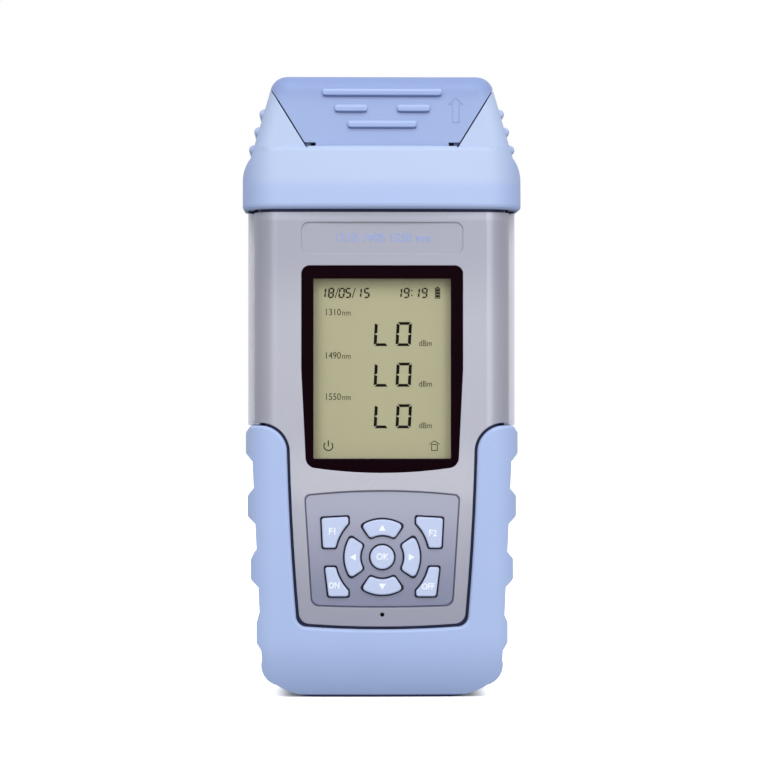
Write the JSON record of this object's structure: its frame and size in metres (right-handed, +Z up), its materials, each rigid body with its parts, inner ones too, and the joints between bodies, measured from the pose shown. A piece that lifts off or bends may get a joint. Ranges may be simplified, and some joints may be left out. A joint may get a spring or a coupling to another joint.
{
  "type": "optical power meter",
  "caption": "Hand-held optical power meter: upright rounded grey case with display and keypad, a soft ribbed boot at the foot and a soft cap with a hinged cover over the fibre ports.",
  "frame": {"origin": "on the surface that the meter stands on, under the middle of its case", "axes": "+Z up along the case, the display faces -Y, +X to the right as seen from the front"},
  "size_m": [0.09, 0.043, 0.2],
  "materials": {
    "housing_plastic": "fine texture",
    "boot_rubber": "satin",
    "key_plastic": "satin",
    "plain_steel": "satin",
    "port_metal": "nickel plated",
    "sleeve_ceramic": "white ceramic",
    "clear_window": "clear",
    "display_glass": "reflective display",
    "diffuser_plastic": "translucent",
    "dark_plastic": "black",
    "mat_silicone": "matt",
    "board_laminate": "solder mask",
    "cell_metal": "plain sleeve"
  },
  "bodies": {
    "meter": {"front_housing": "housing_plastic", "rear_housing": "housing_plastic", "lower_boot": "boot_rubber", "top_cap": "boot_rubber", "cover_hinge_pin": "plain_steel", "optical_port_left": "port_metal", "optical_port_right": "port_metal", "port_sleeve_left": "sleeve_ceramic", "port_sleeve_right": "sleeve_ceramic", "light_detector_left": "port_metal", "light_detector_right": "port_metal", "port_screws": "plain_steel", "display_window": "clear_window", "display_panel": "display_glass", "display_backlight": "diffuser_plastic", "display_carrier": "dark_plastic", "key_mat": "mat_silicone", "main_board": "board_laminate", "buzzer": "dark_plastic", "splitter_module": "dark_plastic", "board_screws": "plain_steel", "housing_screws": "plain_steel", "battery_cell_1": "cell_metal", "battery_cell_2": "cell_metal", "battery_cell_3": "cell_metal", "battery_contacts_low": "plain_steel", "battery_contacts_high": "plain_steel"},
    "cover": {"port_cover": "boot_rubber"},
    "battery_door": {"battery_cover": "housing_plastic"},
    "key_ok_body": {"key_ok": "key_plastic"},
    "key_right_body": {"key_right": "key_plastic"},
    "key_up_body": {"key_up": "key_plastic"},
    "key_left_body": {"key_left": "key_plastic"},
    "key_down_body": {"key_down": "key_plastic"},
    "key_f1_body": {"key_f1": "key_plastic"},
    "key_f2_body": {"key_f2": "key_plastic"},
    "key_on_body": {"key_on": "key_plastic"},
    "key_off_body": {"key_off": "key_plastic"}
  },
  "joints": [
    {"name": "cover_hinge", "type": "hinge", "parent": "meter", "child": "cover", "pos_m": [0, 0.0156, 0.1926], "axis": [-1, 0, 0], "range_deg": [0, 105]},
    {"name": "battery_door_slide", "type": "slide", "parent": "meter", "child": "battery_door", "axis": [0, 1, 0], "range_m": [0, 0.012]},
    {"name": "key_ok_press", "type": "slide", "parent": "meter", "child": "key_ok_body", "axis": [0, 1, 0], "range_m": [0, 0.0008], "stiffness_N_per_m": 400},
    {"name": "key_right_press", "type": "slide", "parent": "meter", "child": "key_right_body", "axis": [0, 1, 0], "range_m": [0, 0.0008], "stiffness_N_per_m": 400},
    {"name": "key_up_press", "type": "slide", "parent": "meter", "child": "key_up_body", "axis": [0, 1, 0], "range_m": [0, 0.0008], "stiffness_N_per_m": 400},
    {"name": "key_left_press", "type": "slide", "parent": "meter", "child": "key_left_body", "axis": [0, 1, 0], "range_m": [0, 0.0008], "stiffness_N_per_m": 400},
    {"name": "key_down_press", "type": "slide", "parent": "meter", "child": "key_down_body", "axis": [0, 1, 0], "range_m": [0, 0.0008], "stiffness_N_per_m": 400},
    {"name": "key_f1_press", "type": "slide", "parent": "meter", "child": "key_f1_body", "axis": [0, 1, 0], "range_m": [0, 0.0008], "stiffness_N_per_m": 400},
    {"name": "key_f2_press", "type": "slide", "parent": "meter", "child": "key_f2_body", "axis": [0, 1, 0], "range_m": [0, 0.0008], "stiffness_N_per_m": 400},
    {"name": "key_on_press", "type": "slide", "parent": "meter", "child": "key_on_body", "axis": [0, 1, 0], "range_m": [0, 0.0008], "stiffness_N_per_m": 400},
    {"name": "key_off_press", "type": "slide", "parent": "meter", "child": "key_off_body", "axis": [0, 1, 0], "range_m": [0, 0.0008], "stiffness_N_per_m": 400}
  ]
}
